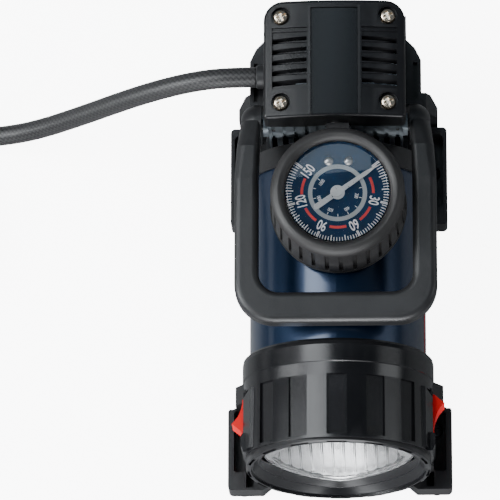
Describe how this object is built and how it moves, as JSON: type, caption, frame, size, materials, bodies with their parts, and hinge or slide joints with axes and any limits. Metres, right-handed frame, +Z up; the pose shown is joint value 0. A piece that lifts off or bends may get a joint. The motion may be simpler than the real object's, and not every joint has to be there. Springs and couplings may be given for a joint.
{
  "type": "portable tire inflator",
  "caption": "Portable tire inflator: horizontal motor with a lamp in front, finned compressor behind, top gauge, folding bail handle, rocker switches and air hose with lever chuck.",
  "frame": {"origin": "on the floor under the middle of the machine's outline, the loose hose left out", "axes": "+Z up; -Y the way the lamp looks; the motor axis lies along Y; the hose leaves towards -X"},
  "size_m": [0.3499, 0.2107, 0.1215],
  "materials": {
    "navy_paint": "gloss",
    "black_plastic": "satin",
    "satin_black": "satin",
    "gloss_black": "gloss",
    "red_plastic": "gloss",
    "rubber": "matte",
    "fin_metal": "satin",
    "steel": "brushed",
    "brass": "satin",
    "copper": "satin",
    "magnet": "matte",
    "reflector": "mirror",
    "clear": "clear",
    "dial_face": "matte",
    "silver": "satin",
    "braid": "woven",
    "tie_strap": "matte",
    "lever_black": "gloss"
  },
  "bodies": {
    "machine": {"air_hose": "braid", "badge_plate": "gloss_black", "bourdon_tube": "brass", "chuck_body": "brass", "chuck_pin": "steel", "cover_screws": "brass", "crankcase_plate": "black_plastic", "cylinder_block": "fin_metal", "cylinder_head": "fin_metal", "dial_rivets": "silver", "foot_pads": "rubber", "front_foot": "black_plastic", "gauge_boot": "rubber", "gauge_case": "steel", "gauge_dial": "dial_face", "gauge_glass": "clear", "gauge_stem": "brass", "handle_pivot_pins": "steel", "head_bolts": "steel", "hose_coil": "braid", "hose_ferrule": "steel", "hose_tail": "braid", "hose_tie": "tie_strap", "housing_screws": "brass", "lamp_bezel": "gloss_black", "lamp_bulb": "clear", "lamp_housing": "satin_black", "lamp_lens": "clear", "lamp_socket": "black_plastic", "left_switch_body": "black_plastic", "motor_brushes": "magnet", "motor_can": "navy_paint", "motor_front_bell": "steel", "motor_magnets": "magnet", "motor_rear_bell": "steel", "outlet_fitting": "brass", "power_cord_gland": "rubber", "rear_cover": "black_plastic", "rear_foot": "black_plastic", "rear_housing": "black_plastic", "reflector": "reflector", "right_switch_body": "black_plastic", "shaft_bushes": "brass", "top_cover": "black_plastic", "valve_plate": "steel"},
    "motor_rotor": {"motor_shaft": "steel", "rotor_core": "steel", "rotor_windings": "copper", "commutator": "copper", "cooling_fan": "black_plastic", "drive_pinion": "steel"},
    "crank": {"crank_gear": "steel", "crank_shaft": "steel"},
    "piston": {"piston_rod": "steel", "piston_cup": "rubber"},
    "handle": {"carry_handle": "satin_black"},
    "left_switch": {"left_rocker": "red_plastic"},
    "right_switch": {"right_rocker": "red_plastic"},
    "needle": {"gauge_needle": "silver"},
    "chuck_arm": {"chuck_lever": "lever_black"}
  },
  "joints": [
    {"name": "handle_swing", "type": "hinge", "parent": "machine", "child": "handle", "pos_m": [0, 0.0533, 0.09], "axis": [-1, 0, 0], "range_deg": [0, 90]},
    {"name": "left_rocker_tilt", "type": "hinge", "parent": "machine", "child": "left_switch", "pos_m": [-0.0443, -0.0757, 0.05], "axis": [0, 0, 1], "range_deg": [0, 46.8]},
    {"name": "right_rocker_tilt", "type": "hinge", "parent": "machine", "child": "right_switch", "pos_m": [0.0443, -0.0757, 0.05], "axis": [0, 0, 1], "range_deg": [0, 46.8]},
    {"name": "needle_turn", "type": "hinge", "parent": "machine", "child": "needle", "pos_m": [0.0013, 0.0125, 0.1168], "axis": [0, 0, -1], "range_deg": [0, 252], "stiffness_Nm_per_rad": 0.0001},
    {"name": "motor_spin", "type": "hinge", "parent": "machine", "child": "motor_rotor", "pos_m": [0, 0, 0.05], "axis": [0, 1, 0], "continuous": true},
    {"name": "crank_spin", "type": "hinge", "parent": "machine", "child": "crank", "pos_m": [0, 0.06, 0.029], "axis": [0, 1, 0], "continuous": true},
    {"name": "piston_slide", "type": "slide", "parent": "machine", "child": "piston", "axis": [0, 0, 1], "range_m": [0, 0.016]},
    {"name": "chuck_lever_flip", "type": "hinge", "parent": "machine", "child": "chuck_arm", "pos_m": [-0.2007, -0.08119, 0.0186], "axis": [0.6428, 0.766, 0], "range_deg": [0, 90]}
  ],
  "couplings": [
    {"joint": "crank_spin", "follows": "motor_spin", "ratio": -0.4}
  ]
}
